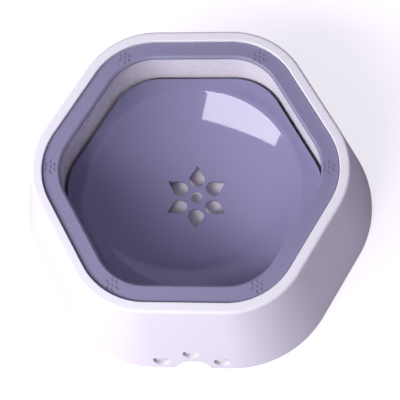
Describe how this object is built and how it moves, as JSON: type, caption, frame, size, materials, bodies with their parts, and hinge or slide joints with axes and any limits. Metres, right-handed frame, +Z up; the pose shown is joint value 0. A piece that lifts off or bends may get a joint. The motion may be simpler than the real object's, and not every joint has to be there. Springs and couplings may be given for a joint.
{
  "type": "pet water bowl",
  "caption": "Hexagonal no-spill pet water bowl: flared shell, lift-out basin, splash ring and a dished float plate with a flower of holes.",
  "frame": {"origin": "on the ground under the middle of the base", "axes": "+Z up, two corners of the hexagon on X, flats at the front (-Y) and the back (+Y)"},
  "size_m": [0.2438, 0.2306, 0.0818],
  "materials": {
    "white_shell": "satin white moulded plastic",
    "white_basin": "smooth white moulded plastic",
    "lavender_ring": "satin lavender-grey moulded plastic",
    "lavender_float": "glossy lavender-grey moulded plastic",
    "lavender_cover": "satin lavender-grey moulded plastic",
    "clear_seal": "translucent silicone",
    "rubber_feet": "matt grey rubber"
  },
  "bodies": {
    "shell": {"base_shell": "white_shell", "foot_1": "rubber_feet", "foot_2": "rubber_feet", "foot_3": "rubber_feet", "foot_4": "rubber_feet", "foot_5": "rubber_feet", "foot_6": "rubber_feet"},
    "bowl": {"water_bowl": "white_basin"},
    "ring": {"splash_ring": "lavender_ring", "ring_seal": "clear_seal"},
    "float": {"float_plate": "lavender_float", "float_cover": "lavender_cover"}
  },
  "joints": [
    {"name": "bowl_lift", "type": "slide", "parent": "shell", "child": "bowl", "axis": [0, 0, 1], "range_m": [0, 0.078]},
    {"name": "ring_lift", "type": "slide", "parent": "bowl", "child": "ring", "axis": [0, 0, 1], "range_m": [0, 0.04]},
    {"name": "float_travel", "type": "slide", "parent": "bowl", "child": "float", "axis": [0, 0, 1], "range_m": [0, 0.0335]}
  ]
}
